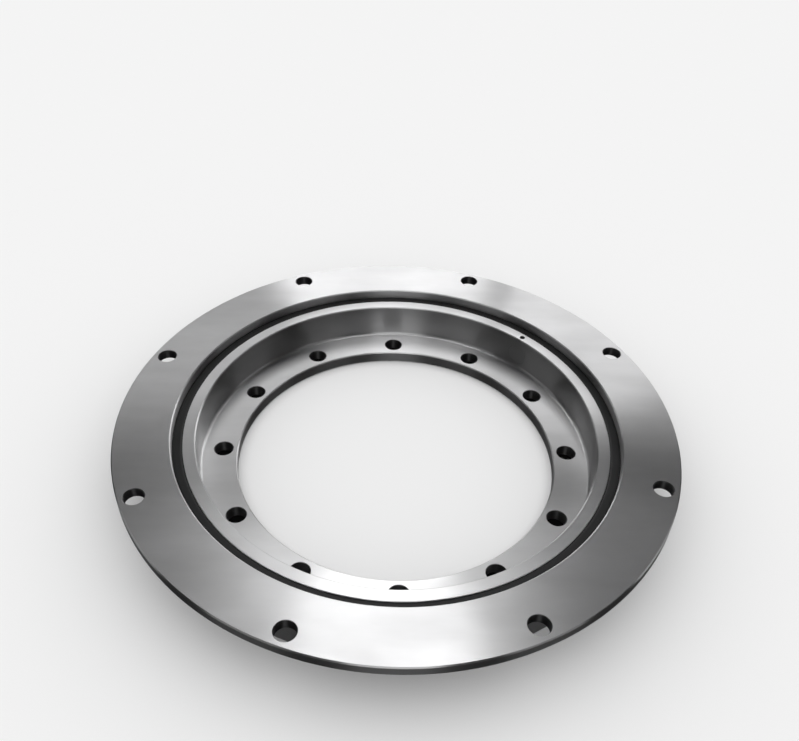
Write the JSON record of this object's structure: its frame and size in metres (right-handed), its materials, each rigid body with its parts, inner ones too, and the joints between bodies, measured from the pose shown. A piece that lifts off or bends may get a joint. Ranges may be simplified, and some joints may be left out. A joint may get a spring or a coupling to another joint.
{
  "type": "slewing ring bearing",
  "caption": "Flanged untoothed slewing ring: an outer and an inner L-section ring that turn on a row of balls, with bolt circles, lip seals, a filling plug and grease nipples.",
  "frame": {"origin": "centre of the inner ring's bottom face, on the axis of rotation, which is the middle of the bottom of the bounding box", "axes": "+Z along the axis of rotation, from the inner ring's mounting face to the outer ring's mounting face; +Y towards a bolt hole of the inner ring"},
  "size_m": [0.518, 0.518, 0.056],
  "materials": {
    "outer_ring_steel": "fine turned and ground, bright",
    "inner_ring_steel": "fine turned and ground, bright",
    "seal_rubber": "matt black nitrile",
    "pin_steel": "oiled, dark",
    "nipple_steel": "yellow zinc plated",
    "spacer_plastic": "natural polyamide",
    "ball_steel": "lapped, mirror bright"
  },
  "bodies": {
    "inner_ring": {"inner_ring": "inner_ring_steel", "upper_seal": "seal_rubber", "filling_plug": "inner_ring_steel", "taper_pin": "pin_steel"},
    "outer_ring": {"outer_ring": "outer_ring_steel", "lower_seal": "seal_rubber", "grease_nipples": "nipple_steel"},
    "ball_train": {"spacer_set_1": "spacer_plastic", "spacer_set_2": "spacer_plastic", "spacer_set_3": "spacer_plastic", "spacer_set_4": "spacer_plastic", "ball_01": "ball_steel", "ball_02": "ball_steel", "ball_03": "ball_steel", "ball_04": "ball_steel", "ball_05": "ball_steel", "ball_06": "ball_steel", "ball_07": "ball_steel", "ball_08": "ball_steel", "ball_09": "ball_steel", "ball_10": "ball_steel", "ball_11": "ball_steel", "ball_12": "ball_steel", "ball_13": "ball_steel", "ball_14": "ball_steel", "ball_15": "ball_steel", "ball_16": "ball_steel", "ball_17": "ball_steel", "ball_18": "ball_steel", "ball_19": "ball_steel", "ball_20": "ball_steel", "ball_21": "ball_steel", "ball_22": "ball_steel", "ball_23": "ball_steel", "ball_24": "ball_steel", "ball_25": "ball_steel", "ball_26": "ball_steel", "ball_27": "ball_steel", "ball_28": "ball_steel", "ball_29": "ball_steel", "ball_30": "ball_steel", "ball_31": "ball_steel", "ball_32": "ball_steel", "ball_33": "ball_steel", "ball_34": "ball_steel", "ball_35": "ball_steel", "ball_36": "ball_steel", "ball_37": "ball_steel", "ball_38": "ball_steel", "ball_39": "ball_steel", "ball_40": "ball_steel", "ball_41": "ball_steel", "ball_42": "ball_steel", "ball_43": "ball_steel", "ball_44": "ball_steel", "ball_45": "ball_steel", "ball_46": "ball_steel", "ball_47": "ball_steel", "ball_48": "ball_steel"}
  },
  "joints": [
    {"name": "slew_rotation", "type": "hinge", "parent": "inner_ring", "child": "outer_ring", "pos_m": [0, 0, 0.028], "axis": [0, 0, 1], "continuous": true},
    {"name": "ball_train_orbit", "type": "hinge", "parent": "inner_ring", "child": "ball_train", "pos_m": [0, 0, 0.028], "axis": [0, 0, 1], "continuous": true}
  ],
  "couplings": [
    {"joint": "ball_train_orbit", "follows": "slew_rotation", "ratio": 0.5171}
  ]
}
